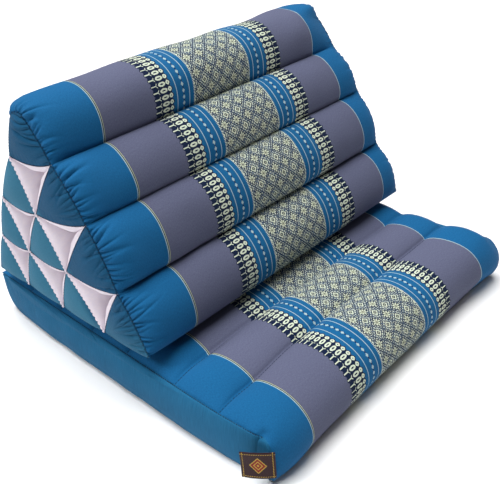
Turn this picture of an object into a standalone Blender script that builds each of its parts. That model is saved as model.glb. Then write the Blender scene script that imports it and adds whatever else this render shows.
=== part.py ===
"""A Thai triangle cushion: a backrest of sewn rolls standing on its own fold-out mat.

Metres, +Z up. The origin is on the floor under the middle of the mat. X runs along the rolls,
and -Y is the front, where the mat reaches out from under the backrest.
"""

import math

import bmesh
import bpy
import numpy as np

# Driving sizes
ROLL_LENGTH = 0.500  # the backrest between its two end seams
MAT_WIDTH = 0.486  # the mat between its two end seams
CHANNEL_DEPTHS = (0.077, 0.071, 0.071, 0.071, 0.073, 0.080, 0.077)  # from the back to the front
MAT_DEPTH = sum(CHANNEL_DEPTHS)
BACKREST_INSET = 0.020  # the backrest's back bottom edge, forward of the mat's back edge
END_SEAM_HEIGHT = 0.061  # the top seams of the mat's ends
GROOVE_HEIGHT = 0.068  # the grooves between the channels, at mid width
CHANNEL_RISE = 0.013  # the channels' crowns over the grooves
BASE_REST = 0.0815  # the backrest's underside, pressed flat on the channels
CLOTH = 0.0012
GAP = 0.0005  # between a sewn-on cloth and the filling's own skin

# Where the seams of an end meet, a row for each level from the base up, each from the back to the
# front: millimetres forward of the back bottom edge, and millimetres over the floor
JUNCTIONS = (
    ((1, 83), (77, 85), (158, 84), (245, 86), (329, 90)),
    ((36, 150), (104, 149), (187, 151), (290, 162)),
    ((69, 217), (147, 217), (254, 238)),
    ((117, 286), (209, 299)),
    ((147, 345), (169, 348)),
)
TOP = 3  # the level of the cell under the ridge

# How a roll stands out between its two seams: the angle at which its cloth leaves a seam, in
# degrees from the chord, and the pull of that direction, as a share of the chord
FRONT_PUFF = (72, 0.385)
TOP_PUFF = (114, 1.10)
BACK_PUFF = (60, 0.33)
BASE_PUFF = (30, 0.30)
STUFFING_WAVE = 0.05  # how unevenly the rolls are stuffed along their length
WAVE_LENGTH = 0.37
WAVE_STEP = 1.28  # the turn of that wave from one roll to the next

SHOULDER = 0.026  # how far in from an end seam a roll reaches its full round
EDGE_BOW = 0.0025  # the seams of an end bow out by this between two junctions
PATCH_DOME = 0.0065
PATCH_TRIM = 0.03  # how far a patch is cut back from the seam, as a share of the way to its middle
POCKET_LEVELS = ((0.000, 1.00), (0.010, 0.80), (0.026, 0.52), (0.045, 0.16))  # depth, share of width

MAT_SHOULDER = 0.030
# The rounded front and back of the mat: how far its cloth is tucked in at the floor, then how far
# out and how high the curve is pulled over the side, and the same over the last crown
FLOOR_TUCK = 0.002
SIDE_PULL = (0.0396, 0.0748)
CROWN_PULL = (0.022, 0.0927)
FRONT_SWAY = 0.35  # the front bulges by this share more on the left, and less on the right
SWAY_LENGTH = 0.60
SWAY_PEAK = -0.20
GUSSET_BULGE = 0.012
GUSSET_TRIM = 0.016
GUSSET_GAP = 0.0008
BACK_CORNER_RADIUS = 0.045
FRONT_CORNER_RADIUS = 0.014
CORNER_LIFT = 0.008  # the mat's front right corner is sewn a little high
LIFT_SPREAD = 0.045
PUFF_POWER = 0.7

LABEL_BOTTOM = 0.011
LABEL_HEIGHT = 0.038
LABEL_THICKNESS = 0.001
LABEL_STEPS = 5
# The label's curve seen from above, as offsets from the corner seam: root, two pulls, free end
LABEL_PLAN = ((-0.0004, -0.0005), (-0.0080, 0.0000), (-0.0180, 0.0090), (-0.0240, 0.0200))

# How finely the shapes are divided
SEAM_STEPS = 6
SHOULDER_STEPS = 5
LENGTH_STEPS = 5
CHANNEL_STEPS = 5
SIDE_STEPS = 5
WELD = 0.00002

COLOURS = {
    "woven cloth": ((0.30, 0.33, 0.42), 0.85),
    "patch cloth": ((0.05, 0.16, 0.28), 0.85),
    "gusset cloth": ((0.02, 0.16, 0.35), 0.85),
    "mat cloth": ((0.27, 0.31, 0.42), 0.85),
    "label weave": ((0.10, 0.03, 0.02), 0.60),
}


def clear_scene():
    for obj in list(bpy.data.objects):
        bpy.data.objects.remove(obj)


def cloth_material(name):
    colour, roughness = COLOURS[name]
    material = bpy.data.materials.new(name)
    material.use_nodes = True
    shader = material.node_tree.nodes["Principled BSDF"]
    shader.inputs["Base Color"].default_value = (*colour, 1.0)
    shader.inputs["Roughness"].default_value = roughness
    return material


def make_piece(collection, name, mesh_parts, material):
    """Joins grids of points, each with its faces, into one welded object with its faces outward."""
    bm = bmesh.new()
    for points, faces in mesh_parts:
        corners = [bm.verts.new(point) for point in points]
        for face in faces:
            bm.faces.new([corners[index] for index in face])
    bmesh.ops.remove_doubles(bm, verts=bm.verts, dist=WELD)
    bmesh.ops.recalc_face_normals(bm, faces=bm.faces)
    mesh = bpy.data.meshes.new(name)
    bm.to_mesh(mesh)
    bm.free()
    mesh.shade_smooth()
    mesh.set_sharp_from_angle(angle=math.radians(40))
    mesh.materials.append(material)
    obj = bpy.data.objects.new(name, mesh)
    collection.objects.link(obj)
    return obj


def sheet_of(obj, side):
    """Gives an open surface the thickness of the cloth, away from what it covers."""
    if (obj.data.polygons[0].normal.x > 0) != (side > 0):
        obj.data.flip_normals()
    solidify = obj.modifiers.new("Thickness", "SOLIDIFY")
    solidify.thickness = CLOTH
    solidify.offset = 1.0
    return obj


# Curves and grids


def bezier(start, pull_a, pull_b, end, steps):
    t = np.linspace(0, 1, steps + 1)[:, None]
    u = 1 - t
    return u**3 * start + 3 * u * u * t * pull_a + 3 * u * t * t * pull_b + t**3 * end


def outward(a, b):
    """The unit normal of a chord of an end, on the side away from the cell it bounds."""
    along = (b - a) / np.linalg.norm(b - a)
    return np.array([-along[1], along[0]])


def bowed(a, b):
    """A seam from one junction to the next, bowed out a little."""
    t = np.linspace(0, 1, SEAM_STEPS + 1)[:, None]
    return a + (b - a) * t + outward(a, b) * EDGE_BOW * 4 * t * (1 - t)


def puffed(a, b, puff, steps):
    """The round of a roll over the chord between its two seams."""
    angle, pull = math.radians(puff[0]), puff[1]
    chord = b - a
    out = outward(a, b) * np.linalg.norm(chord)
    rise = out * math.sin(angle) * pull
    run = chord * math.cos(angle) * pull
    return bezier(a, a + run + rise, b - run + rise, b, steps)


def quads(rows, columns, closed=False):
    """Faces of a grid of points laid out row by row, joined round when it is closed."""
    faces = []
    for row in range(rows - 1):
        for column in range(columns if closed else columns - 1):
            after = (column + 1) % columns
            first, second = row * columns, (row + 1) * columns
            faces.append((first + column, first + after, second + after, second + column))
    return faces


def end_stations(length, shoulder):
    """Places along a filled length, and how full its section is there, from 0 at an end seam to 1."""
    turn = np.linspace(0, math.pi / 2, SHOULDER_STEPS + 1)
    inset = shoulder * (1 - np.cos(turn))
    middle = np.linspace(shoulder, length - shoulder, LENGTH_STEPS + 1)[1:-1]
    places = np.concatenate([inset, middle, length - inset[::-1]]) - length / 2
    fullness = np.concatenate([np.sin(turn), np.ones(len(middle)), np.sin(turn)[::-1]])
    return places, fullness


# The backrest


def junction(i, level):
    forward, height = JUNCTIONS[level][i]
    return np.array([MAT_DEPTH / 2 - BACKREST_INSET - forward / 1000, height / 1000])


def backrest_rolls():
    """Each roll of the outline from the back bottom edge round: its end seam, its full round, its kind."""
    base = [((i, 0), (i + 1, 0)) for i in range(4)]
    front = [((4 - level, level), (3 - level, level + 1)) for level in range(TOP)]
    top = [((1, TOP), (1, TOP + 1), (0, TOP + 1), (0, TOP))]
    back = [((0, level + 1), (0, level)) for level in reversed(range(TOP))]
    rolls = []
    for group, puff in ((base, BASE_PUFF), (front, FRONT_PUFF), (top, TOP_PUFF), (back, BACK_PUFF)):
        for keys in group:
            corners = [junction(*key) for key in keys]
            seam = np.concatenate([bowed(a, b)[:-1] for a, b in zip(corners, corners[1:])])
            full = puffed(corners[0], corners[-1], puff, len(seam))[:-1]
            rolls.append((seam, full))
    return rolls


def backrest_skin():
    """The rolls' cloth, without the ends. Each roll is stuffed a little unevenly along its length."""
    rolls = backrest_rolls()
    places, fullness = end_stations(ROLL_LENGTH, SHOULDER)
    rows = []
    for place, share in zip(places, fullness):
        sections = []
        for number, (seam, full) in enumerate(rolls):
            wave = 1 + STUFFING_WAVE * math.sin(2 * math.pi * place / WAVE_LENGTH + WAVE_STEP * number)
            sections.append(seam + (full - seam) * share * wave)
        section = np.concatenate(sections)
        section[:, 1] = np.maximum(section[:, 1], BASE_REST)
        rows.append(np.column_stack([np.full(len(section), place), section]))
    return np.concatenate(rows), quads(len(rows), len(rows[0]), closed=True)


def cell_keys():
    """The stuffed cells of an end, each a triangle with its base down, but for the blunt one on top."""
    return [(i, level) for level in range(TOP) for i in range(4 - level)]


def cell_surface(i, level, trim):
    """A cell's domed end: points as (dome, y, z) on a triangular grid, and its faces."""
    a, b, c = junction(i, level), junction(i + 1, level), junction(i, level + 1)
    points, faces, index = [], [], {}
    for row in range(SEAM_STEPS + 1):
        for column in range(SEAM_STEPS + 1 - row):
            weights = np.array([SEAM_STEPS - row - column, column, row]) / SEAM_STEPS
            wa, wb, wc = weights * (1 - trim) + trim / 3
            place = wa * a + wb * b + wc * c
            bows = outward(a, b) * wa * wb + outward(b, c) * wb * wc + outward(c, a) * wc * wa
            index[row, column] = len(points)
            points.append((PATCH_DOME * 27 * wa * wb * wc, *(place + 4 * EDGE_BOW * bows)))
    for row in range(SEAM_STEPS):
        for column in range(SEAM_STEPS - row):
            faces.append((index[row, column], index[row, column + 1], index[row + 1, column]))
            if column < SEAM_STEPS - row - 1:
                faces.append((index[row, column + 1], index[row + 1, column + 1], index[row + 1, column]))
    return np.array(points), faces


def along(edge, share):
    """The points at these shares of the way along an edge that is given as points."""
    steps = np.linspace(0, 1, len(edge))
    return np.column_stack([np.interp(share, steps, edge[:, axis]) for axis in range(2)])


def coons(bottom, top, left, right, u, v):
    """A surface stretched between four edges, at the shares u along it and v up it."""
    across, up = u[None, :, None], v[:, None, None]
    ruled = (1 - up) * along(bottom, u)[None] + up * along(top, u)[None]
    ruled = ruled + (1 - across) * along(left, v)[:, None] + across * along(right, v)[:, None]
    corners = (1 - up) * ((1 - across) * bottom[0] + across * bottom[-1])
    corners = corners + up * ((1 - across) * top[0] + across * top[-1])
    return ruled - corners


def top_cell_surface(trim):
    """The blunt cell under the ridge, a square grid drawn in at the top."""
    a, b = junction(0, TOP), junction(1, TOP)
    c, d = junction(1, TOP + 1), junction(0, TOP + 1)
    share = trim / 2 + (1 - trim) * np.linspace(0, 1, SEAM_STEPS + 1)
    # A seam runs round the cell, so those on the left and the top are turned about to run with the grid
    left, top = bowed(d, a)[::-1], bowed(c, d)[::-1]
    grid = coons(bowed(a, b), top, left, bowed(b, c), share, share)
    shape = (share * (1 - share))[:, None] * (share * (1 - share))[None, :]
    dome = PATCH_DOME * 16 * shape
    points = np.concatenate([dome[..., None], grid], axis=2).reshape(-1, 3)
    return points, quads(SEAM_STEPS + 1, SEAM_STEPS + 1)


def end_surfaces(trim):
    return [cell_surface(i, level, trim) for i, level in cell_keys()] + [top_cell_surface(trim)]


def stand_at_end(points, side, lift=0.0):
    """Points given as (how far out, y, z), set on the backrest's left (-1) or right (1) end."""
    placed = points.copy()
    placed[:, 0] = side * (ROLL_LENGTH / 2 + lift + points[:, 0])
    placed[:, 2] = np.maximum(points[:, 2], BASE_REST)
    return placed


def pocket_surface(i, level, side):
    """The hollow between three cells: its mouth follows their seams and it narrows as it goes in."""
    corners = [junction(i, level + 1), junction(i + 1, level + 1), junction(i + 1, level)]
    seams = [bowed(corners[n], corners[(n + 1) % 3])[:-1] for n in range(3)]
    mouth = np.concatenate(seams)
    middle = mouth.mean(axis=0)
    rows = []
    for depth, share in POCKET_LEVELS:
        ring = middle + (mouth - middle) * share
        x = side * (ROLL_LENGTH / 2 - depth)
        rows.append(np.column_stack([np.full(len(ring), x), ring]))
    count = len(mouth)
    faces = quads(len(rows), count, closed=True)
    faces.append(tuple((len(rows) - 1) * count + n for n in range(count)))
    return np.concatenate(rows), faces


def build_backrest(collection):
    woven, blue = cloth_material("woven cloth"), cloth_material("patch cloth")
    shapes = [backrest_skin()]
    for side in (-1, 1):
        shapes += [(stand_at_end(points, side), faces) for points, faces in end_surfaces(0.0)]
        shapes += [pocket_surface(i, level, side) for level in range(TOP) for i in range(3 - level)]
    make_piece(collection, "triangle_body", shapes, woven)
    for side, word in ((-1, "left"), (1, "right")):
        for number, (points, faces) in enumerate(end_surfaces(PATCH_TRIM), 1):
            placed = stand_at_end(points, side, GAP)
            patch = make_piece(collection, f"patch_{word}_{number}", [(placed, faces)], blue)
            sheet_of(patch, side)


# The mat


def groove_places():
    """The y of the back edge, of each groove and of the front edge."""
    return MAT_DEPTH / 2 - np.concatenate([[0], np.cumsum(CHANNEL_DEPTHS)])


def channel_tops(heights, rise):
    """The mat's top from back to front: heights at the edges and grooves, with a crown between."""
    places = groove_places()
    t = np.linspace(0, 1, CHANNEL_STEPS + 1)[:-1]
    rows = []
    for n in range(len(CHANNEL_DEPTHS)):
        y = places[n] + (places[n + 1] - places[n]) * t
        z = heights[n] + (heights[n + 1] - heights[n]) * t
        rows.append(np.column_stack([y, z + rise * (4 * t * (1 - t)) ** PUFF_POWER]))
    rows.append([[places[-1], heights[-1]]])
    return np.concatenate(rows)


def end_side(direction, radius):
    """An upright edge of the mat's end, from the floor up: -1 is the front, 1 the back."""
    y = direction * MAT_DEPTH / 2
    floor = np.array([y - direction * radius, 0.0])
    corner = np.array([y, END_SEAM_HEIGHT])
    return bezier(floor, np.array([y, 0.0]), np.array([y, radius * 0.5]), corner, SIDE_STEPS)


def full_side(direction, groove):
    """The rounded front or back at mid width, from the floor up and over to the first groove."""
    edge = direction * MAT_DEPTH / 2
    floor = np.array([edge - direction * FLOOR_TUCK, 0.0])
    low = np.array([edge + direction * SIDE_PULL[0], SIDE_PULL[1]])
    high = np.array([groove + direction * CROWN_PULL[0], CROWN_PULL[1]])
    return bezier(floor, low, high, np.array([groove, GROOVE_HEIGHT]), SIDE_STEPS + CHANNEL_STEPS)


def mat_edges():
    """The bottom, top, back and front edges of the mat's end, each from back to front or floor up."""
    back, front = end_side(1, BACK_CORNER_RADIUS), end_side(-1, FRONT_CORNER_RADIUS)
    top = channel_tops([END_SEAM_HEIGHT] * (len(CHANNEL_DEPTHS) + 1), 0.0)
    share = (top[:, 0] - top[0, 0]) / (top[-1, 0] - top[0, 0])
    bottom = np.column_stack([back[0, 0] + (front[0, 0] - back[0, 0]) * share, np.zeros(len(top))])
    return bottom, top, back, front


def mat_outlines():
    """The closed section at an end and at mid width: back side, top, front side, then underneath."""
    bottom, top, back, front = mat_edges()
    seam = np.concatenate([back[:-1], top[:-1], front[::-1][:-1], bottom[::-1][:-1]])
    places = groove_places()
    back_full, front_full = full_side(1, places[1]), full_side(-1, places[-2])
    middle = channel_tops([GROOVE_HEIGHT] * (len(CHANNEL_DEPTHS) + 1), CHANNEL_RISE)
    middle = middle[CHANNEL_STEPS : -CHANNEL_STEPS - 1]
    under = bottom.copy()
    share = (bottom[:, 0] - bottom[0, 0]) / (bottom[-1, 0] - bottom[0, 0])
    under[:, 0] = back_full[0, 0] + (front_full[0, 0] - back_full[0, 0]) * share
    full = np.concatenate([back_full[:-1], middle, front_full[::-1][:-1], under[::-1][:-1]])
    return seam, full


def mat_skin():
    """A loft along X from the seam outline at the ends to the full outline between them."""
    seam, full = mat_outlines()
    places, fullness = end_stations(MAT_WIDTH, MAT_SHOULDER)
    in_front = seam[:, 0] < groove_places()[-2]
    rows = []
    for place, share in zip(places, fullness):
        growth = (full - seam) * share
        sway = FRONT_SWAY * math.cos(2 * math.pi * (place - SWAY_PEAK) / SWAY_LENGTH)
        growth[in_front, 0] *= 1 + sway
        rows.append(np.column_stack([np.full(len(seam), place), seam + growth]))
    return lift_corner(np.concatenate(rows)), quads(len(rows), len(seam), closed=True)


def lift_corner(points):
    """Raises the mat's front right corner, most at its top seam."""
    corner = np.array([MAT_WIDTH / 2, -MAT_DEPTH / 2])
    away = ((points[:, :2] - corner) ** 2).sum(axis=1)
    lifted = points.copy()
    lifted[:, 2] *= 1 + CORNER_LIFT / END_SEAM_HEIGHT * np.exp(-away / (2 * LIFT_SPREAD**2))
    return lifted


def mat_end(side, trim, lift):
    """The mat's end as a grid, bulged out between its seams."""
    bottom, top, back, front = mat_edges()
    u = trim / 4 + (1 - trim / 2) * np.linspace(0, 1, len(top))
    v = trim + (1 - 2 * trim) * np.linspace(0, 1, SIDE_STEPS + 1)
    grid = coons(bottom, top, back, front, u, v)
    swell = np.sin(math.pi * v)[:, None] * (1 - (2 * u - 1) ** 8)[None, :]
    x = side * (MAT_WIDTH / 2 + lift + GUSSET_BULGE * swell)
    points = np.concatenate([x[..., None], grid], axis=2).reshape(-1, 3)
    return lift_corner(points), quads(len(v), len(u))


def build_mat(collection):
    ends = [mat_end(side, 0.0, 0.0) for side in (-1, 1)]
    make_piece(collection, "mat", [mat_skin(), *ends], cloth_material("mat cloth"))
    blue = cloth_material("gusset cloth")
    for side, word in ((-1, "left"), (1, "right")):
        gusset = make_piece(collection, f"gusset_{word}", [mat_end(side, GUSSET_TRIM, GUSSET_GAP)], blue)
        sheet_of(gusset, side)


# The label


def build_label(collection):
    """A small tag that leaves the mat's front left corner seam and curls back along the end."""
    corner = np.array([-MAT_WIDTH / 2, -MAT_DEPTH / 2])
    plan = bezier(*(corner + np.array(LABEL_PLAN)), LABEL_STEPS)
    heights = LABEL_BOTTOM + LABEL_HEIGHT * np.linspace(0, 1, LABEL_STEPS)
    points = [(x, y, z) for z in heights for x, y in plan]
    material = cloth_material("label weave")
    label = make_piece(collection, "label", [(points, quads(len(heights), len(plan)))], material)
    solidify = label.modifiers.new("Thickness", "SOLIDIFY")
    solidify.thickness = LABEL_THICKNESS
    solidify.offset = 0.0


def main():
    clear_scene()
    collection = bpy.data.collections.new("Thai triangle cushion")
    bpy.context.scene.collection.children.link(collection)
    build_backrest(collection)
    build_mat(collection)
    build_label(collection)


main()
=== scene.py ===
import math

import bmesh
import bpy
import numpy as np
from mathutils import Matrix


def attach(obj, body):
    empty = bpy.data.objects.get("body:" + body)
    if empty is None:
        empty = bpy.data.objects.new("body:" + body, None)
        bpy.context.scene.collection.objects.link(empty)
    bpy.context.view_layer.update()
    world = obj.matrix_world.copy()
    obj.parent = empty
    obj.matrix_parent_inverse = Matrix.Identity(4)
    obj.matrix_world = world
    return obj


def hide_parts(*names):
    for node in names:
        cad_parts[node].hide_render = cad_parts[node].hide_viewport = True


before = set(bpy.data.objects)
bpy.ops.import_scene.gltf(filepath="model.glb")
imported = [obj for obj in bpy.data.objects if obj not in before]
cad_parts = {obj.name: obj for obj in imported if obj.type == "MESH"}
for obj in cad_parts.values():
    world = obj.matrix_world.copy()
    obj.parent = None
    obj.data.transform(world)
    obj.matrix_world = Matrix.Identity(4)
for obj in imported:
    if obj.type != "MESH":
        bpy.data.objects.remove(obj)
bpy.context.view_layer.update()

# A Thai triangle cushion: stuffed rolls sewn into a backrest that stands on its own fold-out mat.
# Metres, +X along the rolls, -Y the front, +Z up.

mm = 0.001


def screen(red, green, blue):
    # a colour as a screen shows it, 0 to 255, made linear
    share = np.array([red, green, blue]) / 255
    linear = np.where(share <= 0.04045, share / 12.92, ((share + 0.055) / 1.055) ** 2.4)
    return (*linear.tolist(), 1.0)


def dyed(red, green, blue, share=0.58):
    # a cloth's own colour from the shade it shows in the studio, whose light is brighter than plain white
    return (*(share * part for part in screen(red, green, blue)[:3]), 1.0)


# Material trees


class Thread:
    # one output in a material's tree: arithmetic on it adds Math nodes

    def __init__(self, bench, socket):
        self.bench = bench
        self.socket = socket

    def math(self, operation, *others):
        return self.bench.math(operation, self, *others)

    def __add__(self, other): return self.math("ADD", other)
    def __radd__(self, other): return self.bench.math("ADD", other, self)
    def __sub__(self, other): return self.math("SUBTRACT", other)
    def __rsub__(self, other): return self.bench.math("SUBTRACT", other, self)
    def __mul__(self, other): return self.math("MULTIPLY", other)
    def __rmul__(self, other): return self.bench.math("MULTIPLY", other, self)
    def __truediv__(self, other): return self.math("DIVIDE", other)
    def __pow__(self, other): return self.math("POWER", other)
    def __lt__(self, other): return self.math("LESS_THAN", other)
    def __gt__(self, other): return self.math("GREATER_THAN", other)
    def __abs__(self): return self.math("ABSOLUTE")
    def floor(self): return self.math("FLOOR")
    def fract(self): return self.math("FRACT")
    def round(self): return self.math("ROUND")
    def sin(self): return self.math("SINE")
    def most(self, other): return self.math("MAXIMUM", other)
    def least(self, other): return self.math("MINIMUM", other)
    def within(self, low, high): return (self > low) * (self < high)
    def near(self, middle, half): return abs(self - middle) < half
    def snapped(self, step): return ((self / step).floor() + 0.5) * step


class Bench:
    # one material: makes any node, mixes colours and closes the tree on a Principled shader

    def __init__(self, name, roughness, sheen=0.0):
        self.material = bpy.data.materials.new(name)
        self.material.use_nodes = True
        self.tree = self.material.node_tree
        self.shader = self.tree.nodes["Principled BSDF"]
        self.shader.inputs["Roughness"].default_value = roughness
        self.shader.inputs["Sheen Weight"].default_value = sheen
        self.shader.inputs["Specular IOR Level"].default_value = 0.12

    def put(self, socket, value):
        if isinstance(value, Thread):
            self.tree.links.new(value.socket, socket)
        else:
            socket.default_value = value

    def node(self, kind, settings=None, inputs=None, output=0):
        made = self.tree.nodes.new(kind)
        for key, value in (settings or {}).items():
            if key == "stops":
                for place, colour in value[2:]:
                    made.color_ramp.elements.new(place)
                for element, (place, colour) in zip(made.color_ramp.elements, value):
                    element.position, element.color = place, colour
            else:
                setattr(made, key, value)
        for key, value in (inputs or {}).items():
            self.put(made.inputs[key], value)
        return Thread(self, made.outputs[output])

    def math(self, operation, *values):
        return self.node("ShaderNodeMath", {"operation": operation}, dict(enumerate(values)))

    def mix(self, share, under, over, blend="MIX"):
        settings = {"data_type": "RGBA", "blend_type": blend}
        return self.node("ShaderNodeMix", settings, {0: share, 6: under, 7: over}, output=2)

    def shaded(self, colour, share, grain, dark, light):
        # a colour under a soft light that follows a grain between two greys
        greys = self.mix(grain, (dark, dark, dark, 1), (light, light, light, 1))
        return self.mix(share, colour, greys, "SOFT_LIGHT")

    def clothAxes(self):
        # metres across the rolls and metres along the girth, from the piece's own UV map
        place = self.node("ShaderNodeUVMap", {"uv_map": "cloth"})
        split = self.tree.nodes.new("ShaderNodeSeparateXYZ")
        self.tree.links.new(place.socket, split.inputs[0])
        return Thread(self, split.outputs[0]), Thread(self, split.outputs[1])

    def noise(self, u, v, fine, detail=2.0, seed=0.0):
        # grain that can be drawn out along one axis: fine holds how many spots a metre each way
        place = self.node("ShaderNodeCombineXYZ", None, {0: u * fine[0], 1: v * fine[1], 2: seed})
        return self.node("ShaderNodeTexNoise", None, {"Vector": place, "Scale": 1.0, "Detail": detail})

    def close(self, colour, height, lift):
        self.put(self.shader.inputs["Base Color"], colour)
        bump = self.node("ShaderNodeBump", None, {"Height": height, "Distance": lift, "Strength": 1.0})
        self.put(self.shader.inputs["Normal"], bump)
        return self.material


# Cloth finishes

weaveValues = {
    "thread": 0.5 * mm,  # one thread of the woven figure
    "yarn": 1.1 * mm,  # the plain weave's ripple, two yarns long
    "blue": dyed(34, 128, 188),
    "blueDeep": dyed(18, 92, 148),
    "violet": dyed(130, 136, 166),
    "violetDeep": dyed(88, 90, 118),
    "navy": dyed(20, 38, 72),
    "cream": dyed(234, 244, 220, 0.68),
    "creamDim": dyed(196, 202, 174),
    "aqua": dyed(186, 214, 216, 0.66),
    "ground": dyed(98, 122, 148),
    "outline": dyed(28, 40, 72),
    "blueEnd": 0.1832,  # where the plain blue ends begin, from the middle of the cloth
    "endSkew": 0.0038,  # how much further out that is on the left, and further in on the right
    "bandInner": 0.0822,
    "bandOuter": 0.1114,
    "fieldEdge": 0.0490,
    "stripeLines": (0.0570, 0.0764),
    "chain": 0.0664,
    "square": 0.0857,
    "oval": 0.0946,
    "fork": 0.1035,
    "motifPitch": 7.85 * mm,
    "latticeAcross": 20.3 * mm,
    "latticeGirth": 21.8 * mm,
}


def yarn(u, v, pitch):
    # plain weave as a height from 0 to 1: two crossed ripples that change places every thread
    return (u * (2 * math.pi / pitch)).sin() * (v * (2 * math.pi / pitch)).sin() * 0.5 + 0.5


def wovenCloth():
    w = weaveValues
    bench = Bench("wovenCloth", 0.9, 0.03)
    across, girth = bench.clothAxes()
    t = w["thread"]
    r, x, g = abs(across).snapped(t), across.snapped(t), girth.snapped(t)
    p = w["motifPitch"]
    c = abs((g / p).fract() - 0.5) * p  # metres from the middle of the motif, along the girth

    colour = bench.mix(bench.noise(across, girth, (1100, 420), 3.0), w["violet"], w["violetDeep"])
    blue = bench.mix(bench.noise(across, girth, (1000, 380), 3.0, 4.0), w["blue"], w["blueDeep"])
    left = across < 0  # two pale lines with a dark one between on the left, one on the right
    edge = left * (2 * w["endSkew"]) + (w["blueEnd"] - w["endSkew"])
    colour = bench.mix(r > edge, colour, blue)
    colour = bench.mix(r.within(edge + 0.1 * mm, edge + 1.1 * mm), colour, w["aqua"])
    colour = bench.mix(r.within(edge - 0.8 * mm, edge + 0.1 * mm) * left, colour, w["outline"])
    colour = bench.mix(r.within(edge - 1.9 * mm, edge - 0.8 * mm) * left, colour, w["creamDim"])
    colour = bench.mix(r.within(edge - 2.6 * mm, edge - 1.9 * mm) * left, colour, w["violetDeep"])

    # the navy band: combed edges, then forks, long hollow ovals and small hollow squares in line
    low, high = w["bandInner"], w["bandOuter"]
    colour = bench.mix(r < low + 1.5 * mm, colour, blue)
    band = (r < high - 2.2 * mm + (p / 2 - c) * 0.7) * (r > low + 1.8 * mm - (p / 2 - c) * 0.7)
    colour = bench.mix(band, colour, w["navy"])
    stem = r.within(w["fork"], high - 0.8 * mm) * (c < 0.7 * mm)
    arms = r.within(w["fork"] - 2.1 * mm, w["fork"] + 0.7 * mm)
    arms = arms * (abs(c - (w["fork"] + 0.2 * mm - r) * 1.1) < 0.7 * mm)
    far = abs((r - w["oval"]) / (5.3 * mm)) ** 2.2 + abs(c / (2.75 * mm)) ** 2.0
    slit = abs((r - w["oval"]) / (2.7 * mm)) ** 2.0 + (c / (0.85 * mm)) ** 2.0
    oval = (far < 1.0) * (slit > 1.0)
    far = abs(r - w["square"]) ** 1.5 + c ** 1.5
    square = (far < (2.9 * mm) ** 1.5) * (far > (0.8 * mm) ** 1.5)
    figure = (stem + arms + oval + square).least(1.0)

    # the blue stripe: two fine lines, a chain of beads between them, and teeth at the field's edge
    lines = r.near(w["stripeLines"][0], 0.42 * mm) + r.near(w["stripeLines"][1], 0.42 * mm)
    beads = abs(r - w["chain"]) / (2.0 * mm) + c / (2.9 * mm) < 1.0
    links = r.near(w["chain"], 0.7 * mm) * (c > 2.3 * mm)
    colour = bench.mix(links, colour, w["navy"])
    colour = bench.mix((lines + beads).least(1.0), colour, w["aqua"])

    # the middle field, in a slanted lattice: notched rosettes at whole steps, ringed dots at half steps
    a, b = x / w["latticeAcross"], g / w["latticeGirth"]
    rising, falling = a + b, a - b
    up, down = rising.round(), falling.round()
    du, dd = abs(rising - up), abs(falling - down)
    odd = ((up + down) / 2).fract() > 0.25
    away, beside = du.most(dd), du.least(dd)  # 0 in the middle of a lozenge; away is half at its edge
    turn = beside / away  # 0 along a lozenge's straight middle lines, 1 along its diagonals
    gap = turn.within(0.30, 0.68)
    # fine upright dashes of the ground
    hatch = ((a * 7.0).fract() > 0.42) * ((g / (2.4 * mm)).fract() > 0.30)
    petals = away.within(0.15, 0.30) * (1 - gap) + away.within(0.38, 0.45) * hatch
    ringed = away.within(0.13, 0.23) + away.within(0.31, 0.45) * hatch
    lattice = ((1 - odd) * petals + odd * ringed).least(1.0)
    core = (1 - odd) * away.within(0.05, 0.18) + odd * (away < 0.06)
    outline = (1 - odd) * (away.within(0.30, 0.38) + away.within(0.18, 0.30) * gap + (away < 0.05))
    outline = outline + odd * (away.within(0.06, 0.13) + away.within(0.23, 0.30))
    outline = outline + (away > 0.45) * ((beside * 5.0).fract() > 0.25)
    teeth = r.near(w["fieldEdge"], 0.9 * mm) * (((g / (p / 4)).fract() - 0.5) > 0)
    field = r < w["fieldEdge"]
    colour = bench.mix(field, colour, w["ground"])
    colour = bench.mix((field * outline).least(1.0), colour, w["outline"])
    colour = bench.mix(field * core, colour, w["creamDim"])
    cream = (figure * (r > low) * (r < high) + teeth + field * lattice).least(1.0)
    colour = bench.mix(cream, colour, w["cream"])

    fibre = bench.noise(across, girth, (2600, 700), 2.0, 9.0)
    colour = bench.shaded(colour, 0.35, fibre, 0.35, 0.68)
    weave = yarn(across, girth, w["yarn"])
    return bench.close(colour, weave * 0.5 + fibre * 0.5 + cream * 0.8, 0.16 * mm)


# painted light and shade on the patches' cloth: lighter away from the line of the front seams, given by a
# spot and a direction across and up, and below a level, each with the length over which it gets so; darker by
# the front seams
paintedLightValues = {
    "spot": (-0.089, 0.090),
    "inward": (0.867, -0.498),
    "start": 74 * mm,
    "length": 20 * mm,
    "level": 0.150,
    "depth": 0.060,
    "lowShare": 0.55,
}


def plainCloth(name, light, deep, grain, roughness=0.88, lift=0.16, paintedLitShades=None):
    # plain cotton: two close shades in slubs drawn out along one thread direction; paintedLitShades holds two
    # lighter shades of painted light that it turns to, on a smooth step, as paintedLightValues says
    bench = Bench(name, roughness, 0.03)
    u, v = bench.clothAxes()
    slubs = bench.noise(u, v, grain, 3.0)
    patches = bench.noise(u, v, (24, 24), 2.0, 3.0)
    colour = bench.mix(slubs, light, deep)
    if paintedLitShades:
        # painted light: the cloth turns lighter away from the front seams and below a level
        f = paintedLightValues
        inward = (u - f["spot"][0]) * f["inward"][0] + (v - f["spot"][1]) * f["inward"][1]
        low = (f["level"] - v) / f["depth"] * f["lowShare"]
        share = ((inward - f["start"]) / f["length"]).most(low).most(0.0).least(1.0)
        colour = bench.mix(share * share * (3 - 2 * share), colour, bench.mix(slubs, *paintedLitShades))
    colour = bench.shaded(colour, 0.3, patches, 0.3, 0.7)
    weave = yarn(u, v, weaveValues["yarn"])
    return bench.close(colour, weave * 0.5 + slubs * 0.7, lift * mm)


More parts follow.
